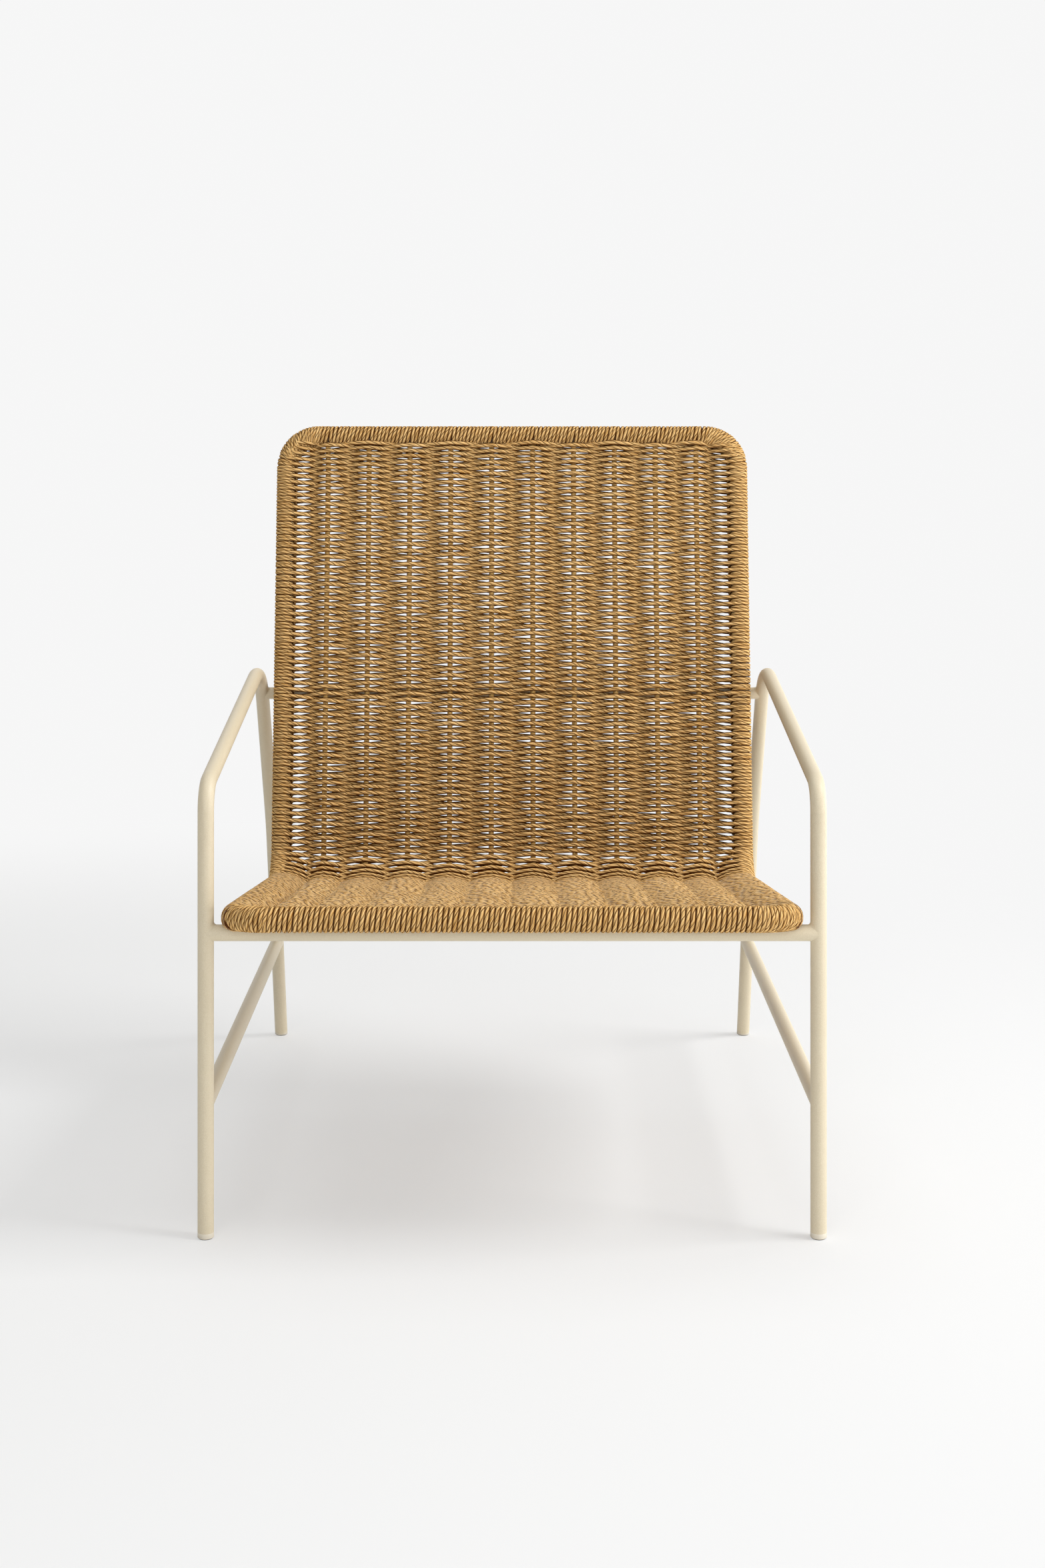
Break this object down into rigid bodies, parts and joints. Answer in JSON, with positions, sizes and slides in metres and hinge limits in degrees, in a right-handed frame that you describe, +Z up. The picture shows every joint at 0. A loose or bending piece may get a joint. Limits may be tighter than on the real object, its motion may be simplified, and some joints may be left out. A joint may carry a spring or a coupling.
{
  "type": "wicker armchair",
  "caption": "Low lounge armchair: bent steel-tube side frames with sloping arms carry a tilted seat-and-back shell woven in twisted cord.",
  "frame": {"origin": "on the floor, at the middle of the chair's overall width and length", "axes": "+Z up, -Y towards the front of the chair, +X to the viewer's right as seen from the front"},
  "size_m": [0.616, 0.7438, 0.7912],
  "materials": {
    "frame_paint": "satin ivory powder coat",
    "foot_cap": "matt moulded",
    "paper_cord": "twisted paper cord, natural",
    "stake": "cord-covered rod, natural"
  },
  "bodies": {
    "root": {"left_side_frame": "frame_paint", "right_side_frame": "frame_paint", "left_stretcher": "frame_paint", "right_stretcher": "frame_paint", "front_crossbar": "frame_paint", "rear_crossbar": "frame_paint", "front_feet": "foot_cap", "rear_feet": "foot_cap", "seat_hoop": "frame_paint", "back_hoop": "frame_paint", "seat_weave": "paper_cord", "back_weave": "paper_cord", "front_rail_wrap": "paper_cord", "top_rail_wrap": "paper_cord", "stake_01": "stake", "stake_02": "stake", "stake_03": "stake", "stake_04": "stake", "stake_05": "stake", "stake_06": "stake", "stake_07": "stake", "stake_08": "stake", "stake_09": "stake", "stake_10": "stake"}
  },
  "joints": []
}
